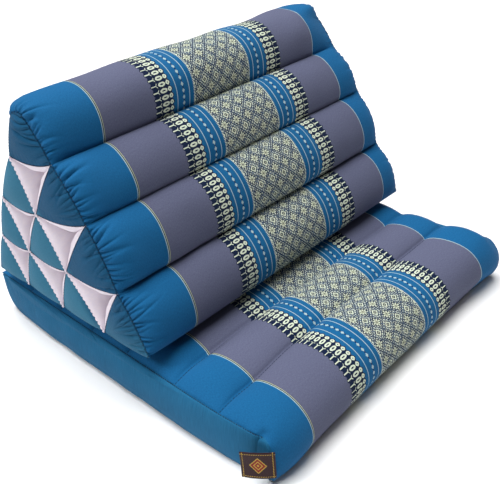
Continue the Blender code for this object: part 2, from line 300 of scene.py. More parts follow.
def threadFinish(name, colour):
    # twisted sewing thread: fine diagonal ply
    bench = Bench(name, 0.75, 0.1)
    place = bench.node("ShaderNodeTexCoord", output=3)
    ply = bench.node("ShaderNodeTexNoise", None, {"Vector": place, "Scale": 2400.0, "Detail": 2.0})
    shade = bench.mix(ply, colour, tuple(0.45 * part for part in colour[:3]) + (1.0,))
    return bench.close(shade, ply, 0.08 * mm)


labelValues = {
    "cloth": dyed(46, 18, 24, 0.95),
    "gold": dyed(190, 158, 62, 0.95),
    "red": dyed(130, 20, 20, 0.95),
    "size": (0.033, 0.038),
}


def labelWeave():
    # a close ribbon weave with a generic stepped rhombus and a dashed border
    v = labelValues
    bench = Bench("labelWeave", 0.55, 0.1)
    u, h = bench.clothAxes()
    t = 0.45 * mm
    wide, tall = v["size"][0] / 2, v["size"][1] / 2
    x, z = abs(u.snapped(t) - wide), abs(h.snapped(t) - tall)
    rhombus = x / (9.5 * mm) + z / (11.5 * mm)
    colour = bench.mix(rhombus < 1.0, v["cloth"], v["red"])
    lines = rhombus.within(0.86, 1.0) + rhombus.within(0.42, 0.56) + (rhombus < 0.16)
    edge = x.within(wide - 3.0 * mm, wide - 2.2 * mm) + z.within(tall - 3.2 * mm, tall - 2.4 * mm)
    dashes = (((u + h) / (2.4 * mm)).fract() > 0.4) * edge
    gold = (lines + dashes).least(1.0)
    colour = bench.mix(gold, colour, v["gold"])
    weave = yarn(u, h, 0.7 * mm)
    return bench.close(colour, weave * 0.5 + gold * 0.6, 0.12 * mm)


# Meshes from whole arrays


def smooth(share):
    # a smooth step from 0 to 1
    share = np.clip(share, 0, 1)
    return share * share * (3 - 2 * share)


def unit(vectors):
    return vectors / np.maximum(np.linalg.norm(vectors, axis=-1, keepdims=True), 1e-12)


def inScene(name, data):
    # a new object in the scene
    made = bpy.data.objects.new(name, data)
    bpy.context.scene.collection.objects.link(made)
    return made


def gridFaces(rows, columns, closed=False):
    # quads of a grid laid out row by row, joined round when it is closed
    first = np.arange(rows - 1)[:, None] * columns
    here = np.arange(columns if closed else columns - 1)[None, :]
    after = (here + 1) % columns
    corners = [first + here, first + after, first + columns + after, first + columns + here]
    return np.stack(corners, -1).reshape(-1, 4)


def gridMaps(maps):
    # the UV of each corner of gridFaces, from a grid with one column more than a closed grid's points
    corners = [maps[:-1, :-1], maps[:-1, 1:], maps[1:, 1:], maps[1:, :-1]]
    return np.stack(corners, 2).reshape(-1, 4, 2)


def makePiece(name, parts, materials, weld=True):
    # parts: (points, faces, UV of each face corner, material number); the faces are joined into one mesh
    points, faces, maps, finish, start = [], [], [], [], 0
    for partPoints, partFaces, partMaps, number in parts:
        points.append(partPoints)
        faces += (partFaces + start).tolist()
        maps.append(partMaps.reshape(-1, 2))
        finish.append(np.full(len(partFaces), number))
        start += len(partPoints)
    mesh = bpy.data.meshes.new(name)
    mesh.from_pydata(np.concatenate(points).tolist(), [], faces)
    layer = mesh.uv_layers.new(name="cloth")
    layer.data.foreach_set("uv", np.concatenate(maps).astype(np.float32).ravel())
    mesh.polygons.foreach_set("material_index", np.concatenate(finish).astype(np.int32))
    for material in materials:
        mesh.materials.append(material)
    bm = bmesh.new()
    bm.from_mesh(mesh)
    if weld:
        bmesh.ops.remove_doubles(bm, verts=bm.verts, dist=0.02 * mm)
        bmesh.ops.recalc_face_normals(bm, faces=bm.faces)
    bm.to_mesh(mesh)
    bm.free()
    mesh.shade_smooth()
    piece = inScene(name, mesh)
    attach(piece, "root")
    return piece


def bezier(spots, t):
    # a cubic from the first of four spots to the last, drawn towards the two between
    t = np.atleast_1d(t)[:, None]
    u = 1 - t
    start, pullA, pullB, end = (np.array(spot) for spot in spots)
    return u**3 * start + 3 * u * u * t * pullA + 3 * u * t * t * pullB + t**3 * end


def outwardOf(a, b):
    # a quarter turn from the direction of a chord
    along = unit(b - a)
    return np.array([-along[1], along[0]])


def arcLength(points):
    steps = np.linalg.norm(np.diff(points, axis=0), axis=1)
    return np.concatenate([[0], np.cumsum(steps)])


def alongRolls(x, section):
    # closed sections of (y, z) given their places on X
    return np.concatenate([np.broadcast_to(x[:, None, None], section.shape[:2] + (1,)), section], axis=2)


def outerNormals(grid):
    # cross product of the grid's two directions, turned away from the middle of its middle section
    across = np.roll(grid, -1, axis=1) - np.roll(grid, 1, axis=1)
    normal = unit(np.cross(across, np.gradient(grid, axis=0)))
    middle = grid[len(grid) // 2]
    if ((middle - middle.mean(axis=0)) * normal[len(grid) // 2]).sum() < 0:
        normal = -normal
    return normal


def lumps(u, v, size, draw):
    # a smooth uneven surface, about -1 to 1: seven plane waves of about this length in random directions
    total = np.zeros(np.broadcast(u, v).shape)
    for _ in range(7):
        turn, phase = draw.uniform(0, 2 * math.pi, 2)
        length = size * draw.uniform(0.7, 1.8)
        total += np.sin(2 * math.pi / length * (u * math.cos(turn) + v * math.sin(turn)) + phase)
    return total / math.sqrt(7)


def gathers(along, away, span, values, draw):
    # creases that start at a seam. Across it each is a narrow cusped trough in a wider low ridge; along it
    # the crease opens within two millimetres of the seam, leans or curls a little, and fades as a bell.
    # values: the pitch, and the ranges of reach, depth and width, in mm; how much the creases lean; and the
    # share of the seam left free before the first
    *sizes, leaning, margin = values
    pitch, reaches, depths, widths = (np.array(size) * mm for size in sizes)
    rise = np.zeros(np.broadcast(along, away).shape)
    place = span * margin * draw.uniform(0.5, 1.5)
    while place < span * (1 - margin * 0.6):
        reach, depth = draw.uniform(*reaches), draw.uniform(*depths)
        lean, curl = draw.normal(0, leaning, 2)
        across = along - place - lean * away - curl * away * away / reach
        width = draw.uniform(*widths) * (1 + 0.7 * away / reach)
        fade = (1 - np.exp(-away / (1.8 * mm))) * np.exp(-1.5 * (away / reach) ** 2)
        ridge = 0.38 * np.exp(-(across / (2.7 * width)) ** 2)
        rise += depth * fade * (ridge - np.exp(-np.abs(across / width) ** 1.5))
        place += pitch * draw.uniform(0.6, 1.5)
    return rise


# The backrest

backrestValues = {
    "rollLength": 0.500,
    "backEdge": 0.240,
    "baseRest": 81.5 * mm,
    # where the end's seams meet, by level from the base: mm forward of the back edge, mm over the floor
    "junctions": (
        ((1, 83), (77, 85), (158, 84), (245, 86), (329, 90)),
        ((36, 150), (104, 149), (187, 151), (290, 162)),
        ((69, 217), (147, 217), (254, 238)),
        ((117, 286), (209, 299)),
        ((147, 345), (169, 348)),
    ),
    "baseRolls": 4,
    "top": 3,  # the level of the top roll's seams
    "basePuff": (30, 0.30),
    "frontPuff": (72, 0.385),
    "topPuff": (114, 1.10),
    "backPuff": (60, 0.33),
    "stuffingWave": 0.05,
    "waveLength": 0.37,
    "waveStep": 1.28,
    "shoulder": 0.028,
    "slackShoulder": 0.075,  # of the back at the left end and of the top roll's front at the right end
    "slackFrom": (0.62, 0.16),  # shares of the top roll's girth: where it slackens, and over how much
    "gathers": (7, (15, 42), (2.2, 5.0), (1.2, 2.1), 0.10, 0.04),
    "gatherShares": (1.0, 0.65),  # how deep the gathers are at the left end and at the right one
    "tension": 1.03,  # how far the cloth is stretched round the rolls
    "edgeBow": 2.5 * mm,
    "lipBow": 6 * mm,  # of the level seams over the hollows
    "lump": 0.9 * mm,
    "lumpSize": 0.075,
}

# the cloth's own measure on the backrest at each front seam from the base up: how far it is stretched, and
# how far its middle sits to the right, in mm
clothLie = {"stretch": (1.048, 1.048, 1.036, 1.030), "shift": (13.8, 18.5, 16.0, 14.0)}

# how full the top roll is along its length
topFullness = (
    (-0.25, -0.10, 0.00, 0.05, 0.10, 0.15, 0.20, 0.25),
    (1.00, 1.00, 0.98, 0.95, 0.91, 0.88, 0.91, 1.00),
)

# samples along an edge of an end: under the base, up the front, over the top in three, down the back, inside
edgeSteps = {"base": 8, "front": 128, "top": (90, 34, 70), "back": 64, "inner": 24}


def junction(i, level):
    forward, height = backrestValues["junctions"][level][i]
    return np.array([backrestValues["backEdge"] - forward * mm, height * mm])


def bowOf(a, b):
    # how far a seam bows: more where it is long, nearly level and over the lowest hollows
    forward, rise = np.abs(b - a)
    level = rise < 0.35 * forward and forward > 40 * mm and min(a[1], b[1]) > 0.12
    return backrestValues["lipBow" if level else "edgeBow"]


def bowed(a, b, t):
    # a seam between two junctions, bowed a little away from the cell: a parabola on the chord
    return a + (b - a) * t[:, None] + outwardOf(a, b) * (bowOf(a, b) * 4 * t * (1 - t))[:, None]


def puffed(a, b, puff, t):
    # the round of a roll over its chord: a cubic whose ends leave the chord at the puff's angle
    angle, pull = math.radians(puff[0]), puff[1]
    chord = b - a
    rise = outwardOf(a, b) * np.linalg.norm(chord) * math.sin(angle) * pull
    run = chord * math.cos(angle) * pull
    return bezier((a, a + run + rise, b - run + rise, b), t)


def rollList():
    # each roll round the outline: the junctions on its seam, its puff, and the samples of each edge
    v, base, top = backrestValues, backrestValues["baseRolls"], backrestValues["top"]
    rolls = [(((i, 0), (i + 1, 0)), v["basePuff"], (edgeSteps["base"],)) for i in range(base)]
    for level in range(top):
        seam = (base - level, level), (base - level - 1, level + 1)
        rolls.append((seam, v["frontPuff"], (edgeSteps["front"],)))
    rolls.append((((1, top), (1, top + 1), (0, top + 1), (0, top)), v["topPuff"], edgeSteps["top"]))
    for level in reversed(range(top)):
        rolls.append((((0, level + 1), (0, level)), v["backPuff"], (edgeSteps["back"],)))
    return rolls


def shareOf(steps):
    return np.arange(steps) / steps


def edgeStepsOf(start, end):
    # how finely the edge between two junctions is sampled, the same from both of its sides
    for keys, _, steps in rollList():
        for a, b, count in zip(keys, keys[1:], steps):
            if (a, b) == (start, end):
                return count
    return edgeSteps["inner"]


def stationPlaces(length, fine, coarse, dense=0.046):
    # distances from one end to the other: closer together within the first and last dense metres
    near = dense * (1 - np.cos(np.linspace(0, math.pi / 2, fine)))
    middle = np.linspace(dense, length - dense, coarse)[1:-1]
    return np.concatenate([near, middle, length - near[::-1]])


def fullnessOf(inset, shoulder):
    # a quarter ellipse: 0 at the end seam, 1 past the shoulder
    return np.sqrt(1 - (1 - np.clip(inset / shoulder, 0, 1)) ** 2)


def arcFrom(inset, shoulder):
    # metres along the cloth from the end seam, over the shoulder and on
    turn = np.arccos(1 - np.clip(inset / shoulder, 0, 1))
    return shoulder * turn + np.maximum(inset - shoulder, 0)


def backrestSkin(draw):
    v = backrestValues
    places = stationPlaces(v["rollLength"], 24, 40)
    x = places - v["rollLength"] / 2
    inset = np.minimum(places, v["rollLength"] - places)
    full = fullnessOf(inset, v["shoulder"])[:, None, None]
    slack = np.sin(math.pi / 2 * np.clip(inset / v["slackShoulder"], 0, 1))[:, None, None]
    atLeft = (x < 0)[:, None, None]
    topRoll = v["baseRolls"] + v["top"]
    grids, tracks, reached = [], [], 0.0
    for number, (keys, puff, steps) in enumerate(rollList()):
        corners = [junction(*key) for key in keys]
        count = len(steps)
        t = np.concatenate([(k + shareOf(n)) / count for k, n in enumerate(steps)])
        seam = np.concatenate([bowed(a, b, shareOf(n)) for a, b, n in zip(corners, corners[1:], steps)])
        shape = puffed(corners[0], corners[-1], puff, t)
        wave = 1 + v["stuffingWave"] * np.sin(2 * math.pi * x / v["waveLength"] + v["waveStep"] * number)
        slackness = atLeft * np.full((1, len(t), 1), float(number > topRoll))
        if number == topRoll:
            wave = wave * np.interp(x, *topFullness)
            start, over = v["slackFrom"]
            forward, rear = (smooth((turn - start) / over)[None, :, None] for turn in (1 - t, t))
            slackness = np.where(atLeft, rear, forward)
        swelling = full + (slack - full) * slackness
        grids.append(seam + (shape - seam) * swelling * wave[:, None, None])
        length = arcLength(puffed(corners[0], corners[-1], puff, np.append(t, 1.0)))
        tracks.append((number, reached, length))
        reached += length[-1]
    grid = alongRolls(x, np.concatenate(grids, axis=1))
    normal = outerNormals(grid)
    rise = np.zeros(grid.shape[:2])
    first = 0
    cloth = arcFrom(inset, v["shoulder"])
    for number, start, length in tracks:
        columns = slice(first, first + len(length) - 1)
        first += len(length) - 1
        if number < v["baseRolls"]:
            continue
        girth = length[:-1][None, :]
        for side, share in zip((x < 0, x >= 0), v["gatherShares"]):
            away = cloth[side][:, None]
            rise[side, columns] += share * gathers(girth, away, length[-1], v["gathers"], draw)
        swell = lumps(x[:, None], start + girth, v["lumpSize"], draw)
        valley = np.sin(math.pi * length[:-1] / length[-1])[None, :] ** 0.5
        rise[:, columns] += v["lump"] * swell * valley * full[:, :, 0]
    grid = grid + normal * rise[..., None]
    grid[..., 2] = np.maximum(grid[..., 2], v["baseRest"])
    girth = np.concatenate([start + length[:-1] for _, start, length in tracks] + [[reached]])
    seams = [start for number, start, _ in tracks if v["baseRolls"] <= number <= topRoll]
    shift, stretch = (np.interp(girth, seams, clothLie[key])[None, :] for key in ("shift", "stretch"))
    across = (x[:, None] - shift * mm) / stretch
    maps = np.stack(np.broadcast_arrays(across, girth[None, :] / v["tension"]), -1)
    rows, columns = grid.shape[:2]
    print("backrest girth", round(reached, 4), "m")
    return grid.reshape(-1, 3), gridFaces(rows, columns, True), gridMaps(maps), 0


def edgesOf(corners):
    # each corner of a loop with the next one
    return list(zip(corners, corners[1:] + corners[:1]))


def loopOf(keys):
    # the outline through these junctions, each edge sampled as its neighbour samples it
    edges = []
    for start, end in edgesOf(keys):
        edges.append(bowed(junction(*start), junction(*end), shareOf(edgeStepsOf(start, end))))
    return np.concatenate(edges)


def capOf(rings, number):
    # rings of points from an outline inward, closed by a fan on their last ring's middle
    rows, count = rings.shape[:2]
    points = np.concatenate([rings.reshape(-1, 3), rings[-1].mean(axis=0)[None]])
    maps = np.concatenate([rings[..., 1:], rings[:, :1, 1:]], axis=1)
    turn = np.arange(count)
    last = (rows - 1) * count
    fan = np.stack([last + turn, last + (turn + 1) % count, np.full(count, rows * count)], -1)
    return [
        (points, gridFaces(rows, count, True), gridMaps(maps), number),
        (points, fan, points[fan][..., 1:], number),
    ]


def cellStarts(fewer):
    # the junctions that start a cell, level by level below the top roll; each level has one fewer
    v = backrestValues
    return [(i, level) for level in range(v["top"]) for i in range(v["baseRolls"] - level - fewer)]


def cellKeys():
    top = backrestValues["top"]
    cells = [[(i, level), (i + 1, level), (i, level + 1)] for i, level in cellStarts(0)]
    return cells + [[(0, top), (1, top), (1, top + 1), (0, top + 1)]]


def pocketKeys():
    return [[(i, level + 1), (i + 1, level + 1), (i + 1, level)] for i, level in cellStarts(1)]


def placed(rings, side):
    # (how far out, y, z) set on the left (-1) or right (1) end
    points = rings.copy()
    points[..., 0] = side * (backrestValues["rollLength"] / 2 + rings[..., 0])
    points[..., 2] = np.maximum(rings[..., 2], backrestValues["baseRest"])
    return points


pocketValues = {
    "depth": 47 * mm,
    "levels": 15,
    "lip": 12 * mm,  # how deep the white cloth's first round goes
    "lipShare": 0.42,  # its swell, as a share of the pocket's inner radius
    "closing": (0.70, 0.55, 1.30),  # how far the upper, front and back walls swell to close it
    "fold": 0.9 * mm,
    "waves": ((2.3, 1.4, 1.0), (5.1, -2.0, 0.6)),  # of the folds: along a wall, into the pocket, and share
    "piping": 1.0 * mm,  # how far the white cloth's sewn edge stands out of the mouth
    "backPiping": 1.5,  # how much further it does in the middle of the back wall, as a share
    "pipingEnd": 5 * mm,
}


def cellRings(keys):
    loop = loopOf(keys)
    middle = loop.mean(axis=0)
    rings = []
    for share in (1.0, 0.66, 0.33):
        ring = middle + (loop - middle) * share
        rings.append(np.column_stack([np.full(len(ring), 4.0 * mm * (1 - share**2)), ring]))
    return np.array(rings)


def pocketRings(keys, draw):
    # three stuffed walls that swell into the pocket as it goes in: first a round lip, then a wide bell
    v = pocketValues
    chords = edgesOf([junction(*key) for key in keys])
    sides = [np.linalg.norm(b - a) for a, b in chords]
    half = sum(sides) / 2
    radius = math.sqrt(np.prod([half - side for side in sides]) / half)
    counts = [edgeStepsOf(*edge) for edge in edgesOf(keys)]
    t = np.concatenate([shareOf(count) for count in counts])
    bell = np.sin(math.pi * t)
    wall = np.repeat(np.arange(3), counts)
    out = np.array([outwardOf(a, b) for a, b in chords])[wall]
    closing = np.array(v["closing"])[wall]
    loop = loopOf(keys)
    phases = draw.uniform(0, 2 * math.pi, 3)
    lipHeight = v["piping"] * (1 + v["backPiping"] * (wall == 2) * np.sqrt(bell))
    rings = [np.column_stack([np.zeros(len(loop)), loop])]
    for high, wide in ((0.7, -0.4), (1.1, 0.2)):  # the round of the piping, as shares of its height
        rings.append(np.column_stack([lipHeight * high, loop + out * (v["piping"] * wide)]))
    for depth in v["depth"] * (1 - np.cos(np.linspace(0, math.pi / 2, v["levels"]))):
        into = depth / v["depth"]
        blend = smooth(into)
        lip = fullnessOf(depth, v["lip"])
        swell = v["lipShare"] * (1 - blend) * lip * 4 * t * (1 - t) + closing * blend * bell**2
        fold = sum(
            share * np.sin(2 * math.pi * (along * t + inward * into) + phase)
            for (along, inward, share), phase in zip(v["waves"], phases)
        )
        swell = swell * radius + v["fold"] * fold * bell**2 * lip * (1 - blend) + v["piping"] * 1.1
        height = 0.95 * lipHeight * math.exp(-depth / v["pipingEnd"]) - depth
        rings.append(np.column_stack([height, loop + out * swell[:, None]]))
    return np.array(rings)


def buildBackrest(finishes):
    draw = np.random.default_rng(11)
    parts = [backrestSkin(draw)]
    for side in (-1, 1):
        for keys in cellKeys():
            parts += capOf(placed(cellRings(keys), side), 1)
        for keys in pocketKeys():
            parts += capOf(placed(pocketRings(keys, draw), side), 2)
    piece = makePiece("backrest", parts, finishes)
    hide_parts("triangle_body")
    print("backrest:", len(piece.data.polygons), "faces")


# The blue patches that close the cells

patchValues = {
    "steps": 88,
    "dome": 6.5 * mm,
    "trim": 0.006,
    "lift": 0.4 * mm,
    "thickness": 0.9 * mm,
    "allowance": 1.02,  # of the flat rectangle over the patch's own reach
    # creases from the inner edges, and from the edge along the front rolls
    "innerPuckers": (7, (5, 14), (0.3, 0.9), (1.1, 1.9), 0.2, 0.08),
    "frontPuckers": (6.5, (16, 36), (2.6, 4.8), (1.3, 2.2), 0.15, 0.10),
}


def triangleGrid(steps):
    # weights of the three corners on a triangular grid, and its faces
    row, column = np.meshgrid(np.arange(steps + 1), np.arange(steps + 1), indexing="ij")
    inside = row + column <= steps
    index = np.full(row.shape, -1)
    index[inside] = np.arange(inside.sum())
    row, column = row[inside], column[inside]
    weights = np.stack([steps - row - column, column, row], -1) / steps
    first, second, third = index[:-1, :-1], index[:-1, 1:], index[1:, :-1]
    lower = np.stack([first, second, third], -1).reshape(-1, 3)
    upper = np.stack([second, index[1:, 1:], third], -1).reshape(-1, 3)
    faces = np.concatenate([lower[(lower >= 0).all(axis=1)], upper[(upper >= 0).all(axis=1)]])
    return weights, faces


def patchSurface(keys, draw):
    # a triangle's dome is the product of its corner weights, a square's that of its two bells; each edge
    # bows as its seam does, and puckers run in from it
    v = patchValues
    corners = [junction(*key) for key in keys]
    if len(keys) == 3:
        weights, faces = triangleGrid(v["steps"])
        w = weights * (1 - v["trim"]) + v["trim"] / 3
        flat = w @ np.array(corners)
        area = abs(np.cross(corners[1] - corners[0], corners[2] - corners[0])) / 2
        out = v["dome"] * 27 * w.prod(axis=1)
        edges = []
        for n, (start, end) in enumerate(edgesOf(corners)):
            near, far, opposite = w[:, n], w[:, (n + 1) % 3], weights[:, (n + 2) % 3]
            chord = np.linalg.norm(end - start)
            flat = flat + np.outer(4 * bowOf(start, end) * near * far, outwardOf(start, end))
            edges.append((far / (near + far) * chord, opposite * 2 * area / chord, chord))
    else:
        share = v["trim"] / 2 + (1 - v["trim"]) * np.linspace(0, 1, v["steps"] + 1)
        u, up = np.meshgrid(share, share)
        u, up = u.ravel(), up.ravel()
        level, upright = u * (1 - u), up * (1 - up)
        flat = np.stack([(1 - u) * (1 - up), u * (1 - up), u * up, (1 - u) * up], -1) @ np.array(corners)
        bows = level * (1 - up), upright * u, level * up, upright * (1 - u)
        for (start, end), bow in zip(edgesOf(corners), bows):
            flat = flat + np.outer(4 * bowOf(start, end) * bow, outwardOf(start, end))
        out = v["dome"] * 16 * level * upright
        wide, tall = np.linalg.norm(corners[1] - corners[0]), np.linalg.norm(corners[2] - corners[1])
        narrowed = wide * (1 - 0.7 * up)
        edges = [(u * wide, up * tall, wide)]
        edges += [(up * tall, away * narrowed, tall) for away in (1 - u, u)]
        faces = gridFaces(v["steps"] + 1, v["steps"] + 1)
    atFront = len(keys) == 4 or sum(keys[0]) == 3
    for n, (along, away, span) in enumerate(edges):
        puckers = v["frontPuckers"] if atFront and n == 1 else v["innerPuckers"]
        out = out + gathers(along, away, span, puckers, draw)
    return np.column_stack([out + v["lift"], flat]), faces


def thicken(piece, thickness, offset):
    wall = piece.modifiers.new("thickness", "SOLIDIFY")
    wall.thickness = thickness
    wall.offset = offset


def stretchedCloth(name, points, faces, finish, thickness, side):
    # an open surface with its thickness on the outer side, and its area as triangles from each first corner
    piece = makePiece(name, [(points, faces, points[faces][..., 1:], 0)], [finish])
    if piece.data.polygons[0].normal.x * side < 0:
        piece.data.flip_normals()
    thicken(piece, thickness, 1.0)
    spokes = points[faces[:, 1:]] - points[faces[:, :1]]
    areas = np.linalg.norm(np.cross(spokes[:, :-1], spokes[:, 1:]), axis=-1) / 2
    return piece, float(areas.sum())


def buildPatches(finish):
    draw = np.random.default_rng(23)
    for side, word in ((-1, "left"), (1, "right")):
        for number, keys in enumerate(cellKeys(), 1):
            points, faces = patchSurface(keys, draw)
            points = placed(points, side)
            name = f"clothPatch_{word}_{number}"
            piece, area = stretchedCloth(name, points, faces, finish, patchValues["thickness"], side)
            wide, tall = np.ptp(points[:, 1:], axis=0) * patchValues["allowance"]
            if area > wide * tall:
                wide = area / tall * 1.001
            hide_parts(f"patch_{word}_{number}")
    print("patches: 20")


# Stitches

stitchSides = 6
stitchTaper = (0.55, 1.0, 1.0, 1.0, 0.55)  # a thread's thickness along a stitch
puffTaper = (0.40, 0.74, 0.94, 1.0, 0.94, 0.74, 0.40)  # and of white cloth puffed out between two stitches
puffValues = {"radius": 1.9 * mm, "height": 0.7 * mm, "inside": 0.9 * mm}


def stitchParts(start, end, lift, radius, taper=stitchTaper):
    # thread loops from start to end that rise by lift between: a half sine over the chord, as round tubes
    t = np.linspace(0, 1, len(taper))
    path = start[:, None] + (end - start)[:, None] * t[None, :, None]
    path = path + lift * np.sin(math.pi * t)[None, :, None]
    beside = unit(np.cross(end - start, lift))
    beside = np.broadcast_to(beside[:, None], path.shape)
    over = np.cross(unit(np.gradient(path, axis=1)), beside)
    turn = (np.arange(stitchSides) * 2 * math.pi / stitchSides)[None, None, :, None]
    thick = np.array(taper)[None, :, None, None] * radius
    ring = path[:, :, None] + thick * (np.cos(turn) * beside[:, :, None] + np.sin(turn) * over[:, :, None])
    count, rows, columns = ring.shape[:3]
    points = ring.reshape(-1, 3)
    sides = gridFaces(rows, columns, True)
    shift = (np.arange(count) * rows * columns)[:, None, None]
    sides = (sides[None] + shift).reshape(-1, 4)
    ends = np.stack([np.arange(columns)[::-1], (rows - 1) * columns + np.arange(columns)])
    ends = (ends[None] + shift).reshape(-1, columns)
    closed = np.zeros((0, 3)), ends - len(points), points[ends][..., 1:], 0
    return [(points, sides, points[sides][..., 1:], 0), closed]


def rowAlong(path, pitch, draw, jitter):
    # places about a pitch apart on a path, and the path's direction there
    length = arcLength(path)
    count = max(int(length[-1] / pitch), 2)
    marks = (np.arange(count) + 0.5 + draw.uniform(-jitter, jitter, count)) * length[-1] / count
    spots = np.column_stack([np.interp(marks, length, path[:, k]) for k in range(3)])
    ahead = np.column_stack([np.interp(marks + 0.5 * mm, length, path[:, k]) for k in range(3)])
    return spots, unit(ahead - spots)


# hand stitches by edge, in mm: pitch, reach over the patch, reach beyond it, thread radius
overcastRows = {
    "front": (4.4, 1.2, 1.6, 0.27),
    "teeth": (5.6, 1.5, 1.0, 0.26),
    "lip": (2.2, 1.2, 0.3, 0.5),
    "rim": (4.2, 1.2, 0.9, 0.32),
}


def edgeKind(keys, n):
    # which row of stitches an edge of a patch carries
    start, end = keys[n], keys[(n + 1) % len(keys)]
    if start[1] == end[1] == 0:
        return "rim"
    if len(keys) == 4:
        return ("lip", "front", "front", "rim")[n]
    if n == 1:
        return "front" if sum(start) == 4 else "teeth"
    return "rim" if n == 2 and end[0] == 0 else "lip"


def buildOvercast(dark, pale):
    # loops of thread from the cloth beyond a patch over its edge, with pale puffs between them on one side
    # of each pocket
    draw = np.random.default_rng(31)
    for side, word in ((-1, "left"), (1, "right")):
        parts = {"dark": [], "pale": []}
        for keys in cellKeys():
            for n, (start, end) in enumerate(edgesOf(keys)):
                kind = edgeKind(keys, n)
                pitch, inner, outer, radius = (size * mm for size in overcastRows[kind])
                a, b = junction(*start), junction(*end)
                edge = bowed(a, b, np.linspace(0, 1, 25))
                path = placed(np.column_stack([np.full(len(edge), patchValues["lift"]), edge]), side)
                spots, direction = rowAlong(path, pitch, draw, 0.22)
                beyond = np.array([0.0, *outwardOf(a, b)])
                out = np.array([side, 0, 0])
                vary = draw.uniform(0.7, 1.3, (len(spots), 1))
                first = spots + beyond * outer * vary - out * 0.5 * outer
                last = spots - beyond * inner * vary + direction * 0.35 * inner
                last = last + out * (patchValues["thickness"] + 0.5 * mm)
                bulge = (out * 0.8 + beyond * 0.3) * (0.5 * mm + 0.4 * radius)
                parts["dark"] += stitchParts(first, last, bulge, radius)
                if kind == "teeth":
                    marks = np.concatenate([path[:1], spots, path[-1:]])
                    marks = marks + out * puffValues["height"] + beyond * puffValues["inside"]
                    bulge = out * 0.5 * mm - beyond * 0.7 * mm
                    puffs = stitchParts(marks[:-1], marks[1:], bulge, puffValues["radius"], puffTaper)
                    parts["pale"] += puffs
        for thread, finish in (("dark", dark), ("pale", pale)):
            piece = makePiece(f"{thread}Overcast_{word}", parts[thread], [finish], weld=False)
    print("overcast stitches: both ends")


# The mat

matValues = {
    "width": 0.486,
    "channelDepths": (0.077, 0.071, 0.071, 0.071, 0.086, 0.067, 0.077),
    "endSeam": 61 * mm,
    "groove": 68 * mm,
    "rise": 13 * mm,
    "puffPower": 0.7,
    "shoulder": 0.037,
    "shoulderPower": 0.8,
    "floorTuck": 2 * mm,
    "sidePull": (39.6 * mm, 74.8 * mm),
    "crownPull": (22 * mm, 92.7 * mm),
    # how far the front swells forward along the mat: places, at the floor, and higher up
    "swayPlaces": (-0.243, -0.20, -0.10, 0.0, 0.10, 0.20, 0.243),
    "swayLow": (0.90, 0.95, 0.75, 0.40, 0.0, 0.0, 0.35),
    "swayHigh": (1.25, 1.30, 1.15, 0.90, 0.75, 0.85, 1.0),
    "backRadius": 0.045,
    "frontEdge": (8 * mm, 4 * mm, 14 * mm),  # of the end: rounding at the floor, belly, rounding at the seam
    # the right end, each with where along the mat it starts and over what length: how far it is drawn out,
    # the share by which it sits lower, and how far the cloth's end line strays outward on the front
    "rightReach": (3 * mm, 0.15, 0.09),
    "rightFall": (0.12, 0.220, 0.023),
    "rightFlare": (12 * mm, 0.10, 0.08),
    "sideSteps": 40,
    "channelSteps": 32,
    "underSteps": 24,
    "lump": 0.7 * mm,
    "lumpSize": 0.09,
    "gathers": (14, (8, 24), (0.2, 0.9), (1.4, 2.8), 0.15, 0.01),
    "pinch": (1.6 * mm, 2.6 * mm, 0.75),  # of a groove by its thread: depth, width, and what mid width loses
}

matDepth = sum(matValues["channelDepths"])


def groovePlaces():
    return matDepth / 2 - np.concatenate([[0], np.cumsum(matValues["channelDepths"])])


def endSide(direction, t):
    # an upright edge of the mat's end, floor to seam: a cubic that rounds the bottom corner
    y, seam, radius = direction * matDepth / 2, matValues["endSeam"], matValues["backRadius"]
    if direction > 0:
        return bezier(((y - radius, 0.0), (y, 0.0), (y, radius * 0.5), (y, seam)), t)
    low, belly, top = matValues["frontEdge"]
    return bezier(((y + low, 0.0), (y - belly, 0.0), (y - belly, seam), (y + top, seam)), t)


def fullSide(direction, t):
    # the rounded front or back at mid width, from the floor up and over to the first groove
    v, places = matValues, groovePlaces()
    groove = places[1] if direction > 0 else places[-2]
    edge = direction * matDepth / 2
    low = edge + direction * v["sidePull"][0], v["sidePull"][1]
    high = groove + direction * v["crownPull"][0], v["crownPull"][1]
    return bezier(((edge - direction * v["floorTuck"], 0.0), low, high, (groove, v["groove"])), t)


def matOutlines():
    # the closed section at an end and at mid width: back side, channels, front side, underneath
    v, places = matValues, groovePlaces()
    s, c = shareOf(v["sideSteps"]), shareOf(v["channelSteps"])
    seam, full = [endSide(1, s)], [fullSide(1, s / 2)]
    ends = places.copy()
    ends[-1] = endSide(-1, 1.0)[0, 0]
    for n in range(7):
        y = ends[n] + (ends[n + 1] - ends[n]) * c
        seam.append(np.column_stack([y, np.full(len(c), v["endSeam"])]))
        if n == 0:
            full.append(fullSide(1, 0.5 + c / 2))
        elif n == 6:
            full.append(fullSide(-1, 1 - c / 2))
        else:
            full.append(np.column_stack([y, v["groove"] + v["rise"] * (4 * c * (1 - c)) ** v["puffPower"]]))
    seam.append(endSide(-1, 1 - s))
    full.append(fullSide(-1, 0.5 - s / 2))
    under = shareOf(v["underSteps"])
    for outline, side in ((seam, endSide), (full, fullSide)):
        front, back = side(-1, 0.0), side(1, 0.0)
        outline.append(front + (back - front) * under[:, None])
    return np.concatenate(seam), np.concatenate(full)


# where the mat's corners have settled: the corner, how wide a bell round it, the move in mm, and whether
# only the part between the floor and the seam moves
settling = (
    ((0.243, -0.26), 0.045, (2, 0, 9), False),
    ((0.243, -0.26), 0.030, (5.5, -4.5, 0), True),
    ((-0.243, -0.26), 0.050, (4, -4.7, 0), False),
    ((-0.243, -0.246), 0.006, (4, 3.5, -3), False),
    ((-0.200, -0.18), 0.045, (0, -6.5, -2), False),
)


